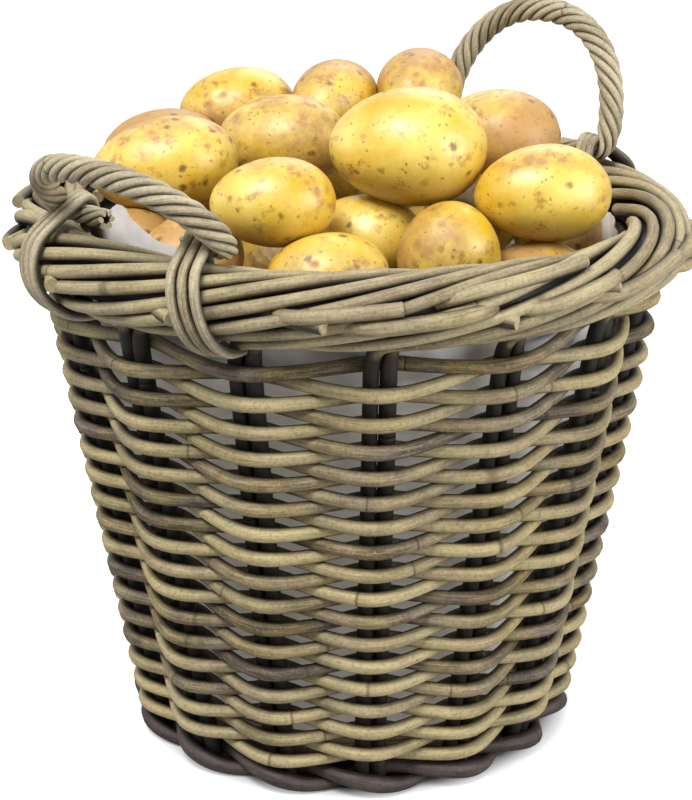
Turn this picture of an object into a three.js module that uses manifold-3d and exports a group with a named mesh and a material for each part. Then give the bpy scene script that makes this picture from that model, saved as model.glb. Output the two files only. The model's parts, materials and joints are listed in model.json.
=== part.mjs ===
// A round market basket of rattan canes, heaped with potatoes. Millimetres, +Z up.
// The origin is the middle of the foot on the floor, and the two handles stand on the X axis.
import * as THREE from 'three';
import Module from 'manifold-3d';
import { mergeVertices } from 'three/addons/utils/BufferGeometryUtils.js';

const wasm = await Module();
wasm.setup();

const DEG = Math.PI / 180;

// Canes. The count of stake pairs is odd, so one spiral weaver goes over and under by itself.
const STAKE_PAIRS = 15;
const STAKE_D = 10;
const WEAVER_D = 8.4;
const FOOT_CANE_D = 9.4;
const LASHING_D = 6;
const FIT = 0.3;
const FOOT_FIT = 0.1;

// Wall: the cone that the stakes stand on, measured at the first and the last row, and the stake
// at which the weaving starts.
const WALL_FOOT_R = 142.5;
const WALL_RIM_R = 192.5;
const WEAVE_ROWS = 33;
const WEAVE_START = 5;
const WEAVER_LENGTHS = 7;
const FOOT_TUCK = 3;

// Rolled border: the stake ends wind round a hoop, outside, over the top and down inside.
const BORDER_OUT = 8.5;
const BORDER_RISE = 35;
const BORDER_SLOTS = 11;
const BORDER_END_TURN = 258 * DEG;
const BORDER_STATIONS = 3;

// Base plate, base sticks and liner.
const BASE_T = 9;
const BASE_RIM_T = 4.2;
const BASE_ROUNDS = 4;
const BASE_GROOVE = 1.6;
const STICK_D = 8;
const STICK_SPACING = 26;
const STICKS_EACH_WAY = 3;
const LINER_T = 1.2;
const LINER_TOP_DROP = 25;

// Roped handles, lashed to the border by toes that they turn on.
const HANDLE_HALF_ANGLE = 22.4 * DEG;
const LEFT_BOW_H = 58;
const RIGHT_BOW_H = 93;
const ROPE_D = 17.5;
const ROPE_STRANDS = 5;
const ROPE_GROOVE = 1.3;
const ROPE_LAY = 80;
const TOE_D = 13;
const TOE_L = 38;
const TOE_BEND_R = 8;
const TOE_SEAT = 12 * DEG;
const TOE_CLEARANCE = 0.3;
const LEFT_LEAN = 44 * DEG;
const RIGHT_LEAN = 15 * DEG;
const LASHING_TURNS = 1.3;
const LASHING_START = 9;
const LASHING_BITE = 0.7;

// Hidden potatoes fill the basket up to a level, which is lower by the crown at the wall.
const HIDDEN_SIZE = [92, 76, 68];
const HIDDEN_PRESS = 2.4;
const HIDDEN_LEVEL = 328;
const HIDDEN_CROWN = 28;
const HIDDEN_PLACES = 40;

// Potatoes that show, from the lowest to the highest: the place where each shows, its length,
// width and depth, then the turn in plan and the tilt of its long axis, in degrees. In the turned
// frame of the heap X is to the right and Y is away.
const HEAP_TURN = -47 * DEG;
const SEAT_SEARCH = 24;
const SEAT_STEP = 8;
const DROP_H = 250;
const POTATOES = [
  { name: 'back_left_under', at: [-88, 130, 330], size: [84, 66, 60], turn: 30, tilt: 0 },
  { name: 'back_under', at: [14, 120, 350], size: [84, 66, 60], turn: 0, tilt: 0 },
  { name: 'back_right_under', at: [92, 104, 345], size: [84, 66, 60], turn: -40, tilt: 0 },
  { name: 'left_under', at: [-148, 34, 335], size: [84, 66, 60], turn: 80, tilt: 0 },
  { name: 'front_left', at: [-14, -120, 347], size: [76, 60, 52], turn: 4, tilt: 0 },
  { name: 'front_right', at: [118, -74, 326], size: [74, 58, 54], turn: -30, tilt: 0 },
  { name: 'front_middle', at: [60, -92, 352], size: [66, 62, 66], turn: 20, tilt: 20 },
  { name: 'right_low', at: [146, 4, 353], size: [72, 60, 56], turn: 80, tilt: 0 },
  { name: 'left_low', at: [-140, -46, 347], size: [70, 58, 54], turn: 100, tilt: 0 },
  { name: 'front_left_low', at: [-100, -98, 352], size: [72, 58, 54], turn: 45, tilt: 0 },
  { name: 'middle_low', at: [86, -6, 356], size: [80, 62, 58], turn: 60, tilt: 0 },
  { name: 'back_right', at: [98, 34, 400], size: [88, 68, 62], turn: -25, tilt: 0 },
  { name: 'back_left_low', at: [-128, 48, 365], size: [90, 68, 60], turn: 30, tilt: 0 },
  { name: 'front_centre', at: [8, -38, 328], size: [80, 60, 56], turn: -12, tilt: 0 },
  { name: 'brown_centre', at: [-38, 44, 393], size: [92, 68, 62], turn: -8, tilt: 0 },
  { name: 'back_left', at: [-88, 106, 399], size: [84, 66, 60], turn: 12, tilt: 0 },
  { name: 'back_middle', at: [-28, 94, 397], size: [80, 60, 56], turn: 70, tilt: 0 },
  { name: 'left', at: [-129, -16, 382], size: [98, 66, 62], turn: 8, tilt: 8 },
  { name: 'front', at: [-48, -100, 367], size: [79, 60, 56], turn: 6, tilt: 0 },
  { name: 'right', at: [128, -74, 375], size: [87, 66, 62], turn: 4, tilt: 0 },
  { name: 'back_top', at: [32, 118, 400], size: [76, 60, 56], turn: 75, tilt: 0 },
  { name: 'top', at: [36, -48, 371], size: [102, 82, 76], turn: -6, tilt: 0 },
];

// Values that follow from the sizes above.
const STEP = 2 * Math.PI / STAKE_PAIRS;
const STAKE_PHASE = Math.PI - Math.floor(STAKE_PAIRS / 2) * STEP;
const PAIR_OFFSET = (STAKE_D + FIT) / 2;
const FOOT_SIDES = 6;
const FOOT_CROSSING = (FOOT_CANE_D + FIT) / 2;
const FOOT_Z = FOOT_CROSSING + FOOT_CANE_D / 2 * Math.cos(Math.PI / FOOT_SIDES);
const ROW_PITCH = WEAVER_D + FIT;
const WEAVE_BOTTOM = FOOT_Z + FOOT_CROSSING + FOOT_CANE_D / 2 + FIT + WEAVER_D / 2;
const WEAVE_TOP = WEAVE_BOTTOM + WEAVE_ROWS * ROW_PITCH;
const FOOT_TOP = FOOT_Z + FOOT_CANE_D / 2;
const TUCK_TOP = WEAVE_BOTTOM - WEAVER_D / 2;
const WALL_SLOPE = (WALL_RIM_R - WALL_FOOT_R) / (WEAVE_TOP - WEAVE_BOTTOM);
const BORDER_R = WALL_RIM_R + BORDER_OUT;
const BORDER_Z = WEAVE_TOP + BORDER_RISE;
const SLOT_TURN = 2 * Math.PI / BORDER_SLOTS;
const STATION_TURN = 2 * SLOT_TURN / BORDER_STATIONS;
const CHORD_SLACK = 1 / Math.cos(STATION_TURN / 2);
const LAY_SLACK = 1.03;
const SLOT_R = (STAKE_D + FIT) * CHORD_SLACK * LAY_SLACK / (2 * Math.sin(SLOT_TURN / 2));
const HOOP_R = SLOT_R / CHORD_SLACK - STAKE_D / 2 - FIT;
const BUNDLE_R = SLOT_R + STAKE_D / 2;
const LASHING_ANGLE = STEP * 0.73;

const COLOURS = {
  weaver: 0x96855f, stake: 0x6a5a48, hoop: 0x7d6d52, foot: 0x5a4842, base: 0x8a7a58,
  film: 0xc8c9d0, rope: 0xa0916e, lashing: 0x9c8c66, potato: 0xd9b45a, heap: 0xc9a24c,
};

const basket = new THREE.Group();

function addPart(name, geometry, colour, roughness, parent = basket) {
  const material = new THREE.MeshStandardMaterial({ color: colour, roughness, metalness: 0 });
  const mesh = new THREE.Mesh(geometry, material);
  mesh.name = name;
  parent.add(mesh);
}

function polar(radius, angle, z) {
  return new THREE.Vector3(radius * Math.cos(angle), radius * Math.sin(angle), z);
}

// Radius of the stake line at a height; between the first row and the foot the stakes tuck in.
function wallRadius(z) {
  if (z <= FOOT_TOP) {
    return WALL_FOOT_R - FOOT_TUCK;
  }
  const tuck = Math.max(0, (TUCK_TOP - z) / (TUCK_TOP - FOOT_TOP));
  const radius = WALL_FOOT_R + (Math.max(z, TUCK_TOP) - WEAVE_BOTTOM) * WALL_SLOPE;
  return THREE.MathUtils.lerp(radius, WALL_FOOT_R - FOOT_TUCK, tuck);
}

function roundSection(diameter, sides, turn = 0) {
  const corner = (_, i) => {
    const angle = turn + i * 2 * Math.PI / sides;
    return [diameter / 2 * Math.cos(angle), diameter / 2 * Math.sin(angle)];
  };
  return Array.from({ length: sides }, corner);
}

// Carries a section along a path. section(i) gives the corners at station i. An open path keeps
// its section from turning and has flat ends; a closed one holds its section upright.
function sweep(path, section, closed = false) {
  const count = path.length;
  const tangents = path.map((_, i) => {
    const before = closed ? path[(i + count - 1) % count] : path[Math.max(i - 1, 0)];
    const after = closed ? path[(i + 1) % count] : path[Math.min(i + 1, count - 1)];
    return after.clone().sub(before).normalize();
  });
  const normal = Math.abs(tangents[0].z) < 0.9 ? new THREE.Vector3(0, 0, 1) : new THREE.Vector3(1, 0, 0);
  const positions = [];
  const index = [];
  const sides = section(0).length;
  for (let i = 0; i < count; i += 1) {
    if (closed) {
      normal.set(0, 0, 1);
    }
    normal.addScaledVector(tangents[i], -normal.dot(tangents[i])).normalize();
    const across = tangents[i].clone().cross(normal);
    for (const [u, v] of section(i)) {
      const corner = path[i].clone().addScaledVector(normal, u).addScaledVector(across, v);
      positions.push(corner.x, corner.y, corner.z);
    }
  }
  const spans = closed ? count : count - 1;
  for (let i = 0; i < spans; i += 1) {
    const near = i * sides;
    const far = ((i + 1) % count) * sides;
    for (let j = 0; j < sides; j += 1) {
      const k = (j + 1) % sides;
      index.push(near + j, near + k, far + j, near + k, far + k, far + j);
    }
  }
  for (let j = 1; !closed && j < sides - 1; j += 1) {
    const last = (count - 1) * sides;
    index.push(0, j + 1, j, last, last + j, last + j + 1);
  }
  const geometry = new THREE.BufferGeometry();
  geometry.setAttribute('position', new THREE.Float32BufferAttribute(positions, 3));
  geometry.setIndex(index);
  return geometry;
}

function cane(path, diameter, sides, closed = false, turn = 0) {
  const section = roundSection(diameter, sides, turn);
  return sweep(path, () => section, closed);
}

function toSolid(geometry) {
  const bare = geometry.clone();
  bare.deleteAttribute('normal');
  bare.deleteAttribute('uv');
  const merged = mergeVertices(bare, 1e-4);
  const mesh = new wasm.Mesh({
    numProp: 3,
    vertProperties: new Float32Array(merged.attributes.position.array),
    triVerts: new Uint32Array(merged.index.array),
  });
  return new wasm.Manifold(mesh);
}

function fromSolid(solid) {
  const mesh = solid.getMesh();
  const geometry = new THREE.BufferGeometry();
  geometry.setAttribute('position', new THREE.BufferAttribute(mesh.vertProperties, 3));
  geometry.setIndex(new THREE.BufferAttribute(mesh.triVerts, 1));
  return geometry;
}

function distanceToSegment(point, from, to) {
  const along = to.clone().sub(from);
  const share = point.clone().sub(from).dot(along) / along.lengthSq();
  return from.clone().addScaledVector(along, THREE.MathUtils.clamp(share, 0, 1)).distanceTo(point);
}

// How far from the stake line a cane stands at a pair, outside (1) or inside (-1), so that its
// straight run to the next point clears the canes of the pair.
function strokeOffset(radius, diameter, side, next, fit = FIT) {
  const clear = (STAKE_D + diameter) / 2 + fit;
  const nearCane = polar(radius, PAIR_OFFSET / radius, 0);
  let offset = clear;
  for (let pass = 0; pass < 12; pass += 1) {
    const from = polar(radius + side * offset, 0, 0);
    offset += Math.max(0, clear - distanceToSegment(nearCane, from, next));
  }
  return offset;
}

// Offsets of a weaver that runs from the outside of one pair to the inside of the next.
function weaverOffsets(radius) {
  let outer = WEAVER_D;
  let inner = WEAVER_D;
  for (let pass = 0; pass < 6; pass += 1) {
    outer = strokeOffset(radius, WEAVER_D, 1, polar(radius - inner, STEP, 0));
    inner = strokeOffset(radius, WEAVER_D, -1, polar(radius + outer, STEP, 0));
  }
  return { outer, inner };
}

// Offsets of the foot cane, which comes back to the stake line between the pairs.
const FOOT_LEVEL = 0.09 * STEP;
function footOffsets() {
  const radius = wallRadius(FOOT_Z);
  const next = polar(radius, STEP / 2 - FOOT_LEVEL, 0);
  const outer = strokeOffset(radius, FOOT_CANE_D, 1, next, FOOT_FIT);
  const inner = strokeOffset(radius, FOOT_CANE_D, -1, next, FOOT_FIT);
  return { outer, inner };
}

// Station of the wall weaver: a whole number counts the stakes that it has passed.
function weaverStation(count) {
  const z = WEAVE_BOTTOM + count / STAKE_PAIRS * ROW_PITCH;
  const radius = wallRadius(z);
  const { outer, inner } = weaverOffsets(radius);
  const angle = STAKE_PHASE + (WEAVE_START + count) * STEP;
  return polar(count % 2 ? radius + outer : radius - inner, angle, z);
}

// One spiral of weaving, worked in lengths of cane whose ends meet inside a stake pair.
function addWallWeavers() {
  const total = WEAVE_ROWS * STAKE_PAIRS;
  const share = Math.round(total / WEAVER_LENGTHS / 2) * 2;
  for (let n = 0; n < WEAVER_LENGTHS; n += 1) {
    const first = n * share;
    const last = n === WEAVER_LENGTHS - 1 ? total : first + share;
    const path = Array.from({ length: last - first + 1 }, (_, i) => weaverStation(first + i));
    const cut = path.at(-2).clone().sub(path.at(-1)).setLength(WEAVER_D / 4);
    path.at(-1).add(cut);
    addPart(`wall_weaver_${n + 1}`, cane(path, WEAVER_D, 5), COLOURS.weaver, 0.7);
  }
}

// Point of the border at a turn round the hoop: 0 is below it, then outside, above and inside.
function borderPoint(angle, turn) {
  const radius = BORDER_R + SLOT_R * Math.sin(turn);
  return polar(radius, angle, BORDER_Z - SLOT_R * Math.cos(turn));
}

// One cane of a pair, from the foot up the wall and round in the border to its cut end.
function stakePath(angle, side) {
  const foot = FOOT_Z + PAIR_OFFSET / 2;
  const shoulder = WEAVE_TOP + WEAVER_D;
  const place = (z) => polar(wallRadius(z), angle + side * PAIR_OFFSET / wallRadius(z), z);
  const path = [place(foot), place(FOOT_TOP), place(TUCK_TOP), place(shoulder)];
  const perTurn = STEP / (2 * SLOT_TURN);
  const startTurn = side < 0 ? 0 : -SLOT_TURN;
  const bend = angle + (side * PAIR_OFFSET + STAKE_D / 4) / BORDER_R;
  path.push(borderPoint(bend, startTurn + (bend - angle) / perTurn));
  for (let i = 1; startTurn + i * STATION_TURN <= BORDER_END_TURN; i += 1) {
    const turn = startTurn + i * STATION_TURN;
    path.push(borderPoint(angle + i * STATION_TURN * perTurn, turn));
  }
  return path;
}

// A doubled stake is one long cane bent into a hairpin at the foot.
function addStakes() {
  for (let k = 0; k < STAKE_PAIRS; k += 1) {
    const angle = STAKE_PHASE + k * STEP;
    const left = stakePath(angle, -1).reverse();
    const right = stakePath(angle, 1);
    const middle = left.at(-1).clone().add(right[0]).multiplyScalar(0.5);
    const reach = right[0].clone().sub(middle);
    const down = new THREE.Vector3(0, 0, -reach.length());
    const bend = [-45, 0, 45].map((degrees) => middle.clone()
      .addScaledVector(reach, Math.sin(degrees * DEG)).addScaledVector(down, Math.cos(degrees * DEG)));
    const path = [...left, ...bend, ...right];
    addPart(`stake_pair_${k + 1}`, cane(path, STAKE_D, 5), COLOURS.stake, 0.75);
  }
}

function addBorderHoop() {
  const hoop = new THREE.TorusGeometry(BORDER_R, HOOP_R, 6, 2 * STAKE_PAIRS);
  hoop.translate(0, 0, BORDER_Z);
  addPart('border_hoop', hoop, COLOURS.hoop, 0.75);
}

// The foot is one cane worked twice round, passing itself above and below between the stakes.
function addFoot() {
  const radius = wallRadius(FOOT_Z);
  const { outer, inner } = footOffsets();
  const path = [];
  for (let i = 0; i < 2 * STAKE_PAIRS; i += 1) {
    const angle = STAKE_PHASE + i * STEP;
    const outside = i % 2 === 0;
    const z = FOOT_Z + (outside ? -FOOT_CROSSING : FOOT_CROSSING);
    path.push(polar(outside ? radius + outer : radius - inner, angle, FOOT_Z));
    path.push(polar(radius, angle + STEP / 2 - FOOT_LEVEL, z));
    path.push(polar(radius, angle + STEP / 2 + FOOT_LEVEL, z));
  }
  addPart('foot_wale', cane(path, FOOT_CANE_D, FOOT_SIDES, true, Math.PI / FOOT_SIDES), COLOURS.foot, 0.8);
}

// The base is a round plate worked in rounds, held between the foot and the first row.
function addBase() {
  const { inner } = footOffsets();
  const rowInner = WALL_FOOT_R - weaverOffsets(WALL_FOOT_R).inner - WEAVER_D / 2;
  const seat = FOOT_Z + FOOT_CANE_D / 2 + FIT;
  const rim = wallRadius(FOOT_Z) - inner;
  const plate = rowInner - 2 * FIT;
  const stickReach = rim - FOOT_CANE_D / 2 - 2 * FIT;
  const profile = [[0, seat]];
  const round = stickReach / BASE_ROUNDS;
  for (let i = 1; i <= BASE_ROUNDS; i += 1) {
    profile.push([(i - 0.5) * round, seat], [i * round, seat + (i < BASE_ROUNDS ? BASE_GROOVE : 0)]);
  }
  profile.push([rim, seat], [rim, seat + BASE_RIM_T], [plate, seat + BASE_RIM_T]);
  profile.push([plate, seat + BASE_T], [0, seat + BASE_T]);
  const points = profile.map(([x, y]) => new THREE.Vector2(x, y));
  const disc = new THREE.LatheGeometry(points, 24);
  disc.rotateX(Math.PI / 2);
  addPart('base_plate', disc, COLOURS.base, 0.75);

  const sticks = [];
  for (let way = 0; way < 2; way += 1) {
    for (let i = 0; i < STICKS_EACH_WAY; i += 1) {
      const offset = (i - (STICKS_EACH_WAY - 1) / 2) * STICK_SPACING;
      const half = Math.sqrt(stickReach ** 2 - (Math.abs(offset) + STICK_D / 2) ** 2);
      const stick = new THREE.CylinderGeometry(STICK_D / 2, STICK_D / 2, 2 * half, 6);
      stick.translate(offset, 0, 0).rotateZ(way * Math.PI / 2);
      sticks.push(toSolid(stick.translate(0, 0, seat - FIT - STICK_D / 2)));
    }
  }
  addPart('base_sticks', fromSolid(sticks.reduce((all, stick) => all.add(stick))), COLOURS.base, 0.75);
  return seat + BASE_T;
}

// The liner is a pot of clear film that stands inside the weave.
const liner = {};
function addLiner(floor) {
  const gap = (z) => weaverOffsets(wallRadius(z)).inner + WEAVER_D / 2 + 2 * FIT;
  liner.floor = floor + FIT + LINER_T;
  liner.top = BORDER_Z - LINER_TOP_DROP;
  liner.footR = wallRadius(WEAVE_BOTTOM) - gap(WEAVE_BOTTOM) - LINER_T;
  liner.topR = wallRadius(liner.top) - gap(WEAVE_BOTTOM) - LINER_T;
  const outline = [
    [0, liner.floor - LINER_T], [liner.footR + LINER_T, liner.floor - LINER_T],
    [liner.topR + LINER_T, liner.top], [liner.topR, liner.top],
    [liner.footR, liner.floor], [0, liner.floor],
  ];
  const pot = new THREE.LatheGeometry(outline.map(([x, y]) => new THREE.Vector2(x, y)), 2 * STAKE_PAIRS);
  pot.rotateX(Math.PI / 2);
  addPart('liner', pot, COLOURS.film, 0.35);
}

// The handles turn on a chord over the inner shoulder of the border.
const SEAT_R = BUNDLE_R + TOE_D / 2 + FIT;
const FOOT_R = BORDER_R - SEAT_R * Math.sin(TOE_SEAT);
const AXIS_Z = BORDER_Z + SEAT_R * Math.cos(TOE_SEAT);
const AXIS_R = FOOT_R * Math.cos(HANDLE_HALF_ANGLE);
const HANDLE_HALF_W = FOOT_R * Math.sin(HANDLE_HALF_ANGLE);

// Middle line of a handle in its own plane: toe, bend, arch, bend and toe.
function handlePath(height) {
  const path = [];
  const arch = 18;
  const point = (u, v) => new THREE.Vector3(u, 0, v);
  path.push(point(-HANDLE_HALF_W + TOE_L, 0), point(-HANDLE_HALF_W + (TOE_L + TOE_BEND_R) / 2, 0));
  for (const degrees of [0, 30, 60]) {
    const turn = degrees * DEG;
    path.push(point(TOE_BEND_R - HANDLE_HALF_W - TOE_BEND_R * Math.sin(turn), TOE_BEND_R * (1 - Math.cos(turn))));
  }
  for (let i = 0; i <= arch / 2; i += 1) {
    const turn = i / arch * Math.PI;
    path.push(point(-HANDLE_HALF_W * Math.cos(turn) ** 0.9,
      TOE_BEND_R + (height - TOE_BEND_R) * Math.sin(turn) ** 0.9));
  }
  const mirrored = path.slice(0, -1).reverse().map((p) => point(-p.x, p.z));
  return [...path, ...mirrored];
}

// Rope of twisted strands: a lobed section that turns once in each lay and thins to straight toes.
function addHandle(name, angle, height, lean) {
  const path = handlePath(height);
  const lengths = path.map((p, i) => (i ? p.distanceTo(path[i - 1]) : 0));
  let travelled = 0;
  const runs = lengths.map((step) => {
    travelled += step;
    return travelled;
  });
  const taperEnd = TOE_L + TOE_BEND_R;
  const section = (i) => {
    const fromEnd = Math.min(runs[i], travelled - runs[i]);
    const full = THREE.MathUtils.smoothstep(fromEnd, TOE_L - TOE_BEND_R, taperEnd + TOE_BEND_R);
    const radius = THREE.MathUtils.lerp(TOE_D, ROPE_D, full) / 2;
    const twist = -THREE.MathUtils.clamp(runs[i], TOE_L, travelled - TOE_L) / ROPE_LAY * 2 * Math.PI;
    return Array.from({ length: 2 * ROPE_STRANDS }, (_, j) => {
      const reach = j % 2 ? radius - ROPE_GROOVE * full : radius;
      const turn = twist + j * Math.PI / ROPE_STRANDS;
      return [reach * Math.cos(turn), reach * Math.sin(turn)];
    });
  };
  const place = new THREE.Group();
  place.position.copy(polar(AXIS_R, angle, AXIS_Z));
  place.rotation.set(0, 0, angle - Math.PI / 2);
  const bow = new THREE.Group();
  bow.rotation.x = -lean;
  place.add(bow);
  basket.add(place);
  addPart(name, sweep(path, section), COLOURS.rope, 0.7, bow);
}

// A lashing is a cane wound tight round the border and the toe of a handle. In the cross-section
// of the border it runs on two arcs, one round the border and one round the toe.
function addLashing(name, handleAngle, side) {
  const borderSteps = 6;
  const toeSteps = 3;
  const round = borderSteps + toeSteps + 2;
  const count = Math.round(LASHING_TURNS * round);
  const path = [];
  for (let i = 0; i <= count; i += 1) {
    const advance = (i / count - 0.5) * LASHING_TURNS * (LASHING_D + 2 * FIT);
    const away = side * (LASHING_ANGLE + advance / BORDER_R);
    const toe = new THREE.Vector2(AXIS_R / Math.cos(away) - BORDER_R, AXIS_Z - BORDER_Z);
    const borderWrap = BUNDLE_R - LASHING_BITE + LASHING_D / 2;
    const toeWrap = TOE_D / 2 / Math.cos(away) + TOE_CLEARANCE + LASHING_D / 2;
    const spread = Math.acos((borderWrap - toeWrap) / toe.length());
    const borderStep = 2 * (Math.PI - spread) / borderSteps;
    const toeStep = 2 * spread / toeSteps;
    const place = (i + LASHING_START) % round;
    const onBorder = place <= borderSteps;
    const turn = onBorder ? -spread - place * borderStep : spread - (place - borderSteps - 1) * toeStep;
    const reach = onBorder ? borderWrap / Math.cos(borderStep / 2) : toeWrap / Math.cos(toeStep / 2);
    const out = new THREE.Vector2(reach, 0).rotateAround(new THREE.Vector2(), toe.angle() + turn);
    out.add(onBorder ? new THREE.Vector2() : toe);
    path.push(polar(BORDER_R + out.x, handleAngle + away, BORDER_Z + out.y));
  }
  addPart(name, cane(path, LASHING_D, 5), COLOURS.lashing, 0.7);
}

// A potato is a ball drawn out to length, width and depth, blunter at one end than the other.
function potatoShape([length, width, depth], turn, tilt, detail) {
  const ball = mergeVertices(bare(detail));
  const place = ball.attributes.position;
  for (let i = 0; i < place.count; i += 1) {
    const blunt = 1 + 0.1 * place.getX(i);
    place.setXYZ(i, place.getX(i) * length / 2, place.getY(i) * blunt * width / 2,
      place.getZ(i) * blunt * depth / 2);
  }
  ball.rotateY(-tilt).rotateZ(turn);
  return ball;
}

function bare(detail) {
  const ball = detail ? new THREE.IcosahedronGeometry(1, detail) : new THREE.OctahedronGeometry(1, 1);
  ball.deleteAttribute('normal');
  ball.deleteAttribute('uv');
  return ball;
}

function corners(geometry) {
  const place = geometry.attributes.position;
  return Array.from({ length: place.count }, (_, i) => new THREE.Vector3().fromBufferAttribute(place, i));
}

function farthest(points, direction, offset) {
  let best = points[0];
  let reach = -Infinity;
  for (const point of points) {
    const along = point.dot(direction);
    if (along > reach) {
      reach = along;
      best = point;
    }
  }
  return best.clone().add(offset);
}

// Distance between two convex bodies that is surely free, found by walking to the nearest point
// of their difference.
function gapBetween(a, b) {
  const nearest = a.at.clone().sub(b.at);
  let free = nearest.length() - a.reach - b.reach;
  if (free > a.reach) {
    return free;
  }
  for (let pass = 0; pass < 400; pass += 1) {
    const back = nearest.clone().negate();
    const tip = farthest(a.points, back, a.at).sub(farthest(b.points, nearest, b.at));
    const length = nearest.length();
    free = Math.max(free, tip.dot(nearest) / length);
    if (length - free < 0.02) {
      break;
    }
    const along = tip.sub(nearest);
    const share = THREE.MathUtils.clamp(-nearest.dot(along) / along.lengthSq(), 0, 1);
    nearest.addScaledVector(along, share);
  }
  return free;
}

// Height at which a point is stopped by the facets of the liner. Outside its mouth or over the
// border it can't go down.
function stopUnder(x, y, gap) {
  const facet = Math.PI / STAKE_PAIRS;
  const angle = Math.atan2(y, x) + HEAP_TURN + Math.PI / 2;
  const across = THREE.MathUtils.euclideanModulo(angle, facet) - facet / 2;
  const reach = (Math.hypot(x, y) + gap) * Math.cos(across) / Math.cos(facet / 2);
  const slope = (liner.topR - liner.footR) / (liner.top - liner.floor);
  const wall = liner.floor + Math.max(gap, (reach - liner.footR) / slope);
  const mouth = BORDER_R - BUNDLE_R - gap;
  return wall < liner.top && Math.hypot(x, y) < mouth ? wall : Infinity;
}

// Room under a potato before it meets the liner.
function roomInLiner(body) {
  const rooms = body.points.map((point) => {
    const at = point.clone().add(body.at);
    return at.z - stopUnder(at.x, at.y, FIT + body.skin);
  });
  return Math.min(...rooms);
}

// Lowers a potato until it rests on the liner or on those that lie there already.
function settle(body, others) {
  const near = others.filter((other) => Math.hypot(other.at.x - body.at.x, other.at.y - body.at.y)
    < other.reach + body.reach);
  for (let pass = 0; pass < 200; pass += 1) {
    const gaps = near.map((other) => gapBetween(body, other) - FIT);
    const room = Math.min(roomInLiner(body), ...gaps);
    if (room < 0.05) {
      break;
    }
    body.at.z -= room;
  }
}

// A potato held above its place in plan, ready to be let down.
function makeBody(size, turn, tilt, x, y, detail, skin) {
  const shape = potatoShape(size, turn, tilt, detail);
  const points = corners(shape);
  const reach = Math.max(...points.map((point) => point.length()));
  return { shape, points, reach, skin, at: new THREE.Vector3(x, y, liner.top + DROP_H) };
}

// Drops hidden potatoes one by one, each at the place of a sunflower pattern where it lies lowest.
function fillHidden() {
  const settled = [];
  const golden = Math.PI * (3 - Math.sqrt(5));
  for (;;) {
    let lowest = null;
    for (let i = 0; i < HIDDEN_PLACES; i += 1) {
      const out = (liner.topR - HIDDEN_SIZE[1] / 2) * Math.sqrt((i + 0.5) / HIDDEN_PLACES);
      const angle = i * golden;
      const turn = angle + settled.length;
      const body = makeBody(HIDDEN_SIZE, turn, 0, out * Math.cos(angle), out * Math.sin(angle), 0, HIDDEN_PRESS);
      settle(body, settled);
      body.turn = turn;
      body.level = body.at.z + HIDDEN_CROWN * (out / liner.topR) ** 2;
      lowest = lowest && lowest.level <= body.level ? lowest : body;
    }
    if (lowest.level > HIDDEN_LEVEL) {
      return settled;
    }
    settled.push(lowest);
  }
}

// The largest group of hidden potatoes that hang together, swelled so that they press together.
function pressed(bodies) {
  let kept = [];
  for (const start of bodies) {
    const group = kept.includes(start) ? [] : [start];
    for (const body of group) {
      const meets = (other) => !group.includes(other) && gapBetween(body, other) < HIDDEN_PRESS;
      group.push(...bodies.filter(meets));
    }
    kept = group.length > kept.length ? group : kept;
  }
  const size = HIDDEN_SIZE.map((side) => side + 2 * HIDDEN_PRESS);
  return kept.map(({ turn, at }) => ({ ...makeBody(size, turn, 0, at.x, at.y, 0, 0), at }));
}

// Lets a potato down at places round the wanted one and keeps the seat that lies nearest to it.
function nearestSeat(wanted, size, turn, tilt, settled) {
  let nearest = null;
  for (let dx = -SEAT_SEARCH; dx <= SEAT_SEARCH; dx += SEAT_STEP) {
    for (let dy = -SEAT_SEARCH; dy <= SEAT_SEARCH; dy += SEAT_STEP) {
      const body = makeBody(size, turn, tilt, wanted.x + dx, wanted.y + dy, 1, 0);
      settle(body, settled);
      body.miss = body.at.distanceTo(wanted);
      nearest = nearest && nearest.miss <= body.miss ? nearest : body;
    }
  }
  return nearest;
}

function addPotatoes() {
  const heap = new THREE.Group();
  heap.rotation.z = HEAP_TURN;
  basket.add(heap);
  const settled = pressed(fillHidden());
  const hidden = settled.map(({ shape, at }) => toSolid(shape.clone().translate(at.x, at.y, at.z)));
  addPart('potato_heap', fromSolid(hidden.reduce((all, one) => all.add(one))), COLOURS.heap, 0.6, heap);
  for (const { name, at, size, turn, tilt } of POTATOES) {
    const body = nearestSeat(new THREE.Vector3(...at), size, turn * DEG, tilt * DEG, settled);
    settled.push(body);
    const shape = body.shape.clone().translate(body.at.x, body.at.y, body.at.z);
    addPart(`potato_${name}`, shape, COLOURS.potato, 0.5, heap);
  }
}

addFoot();
const floor = addBase();
addStakes();
addWallWeavers();
addBorderHoop();
addLiner(floor);
addHandle('handle_left', Math.PI, LEFT_BOW_H, LEFT_LEAN);
addHandle('handle_right', 0, RIGHT_BOW_H, RIGHT_LEAN);
addLashing('lashing_left_front', Math.PI, 1);
addLashing('lashing_left_back', Math.PI, -1);
addLashing('lashing_right_front', 0, -1);
addLashing('lashing_right_back', 0, 1);
addPotatoes();

export default basket;
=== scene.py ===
import json
import math

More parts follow.
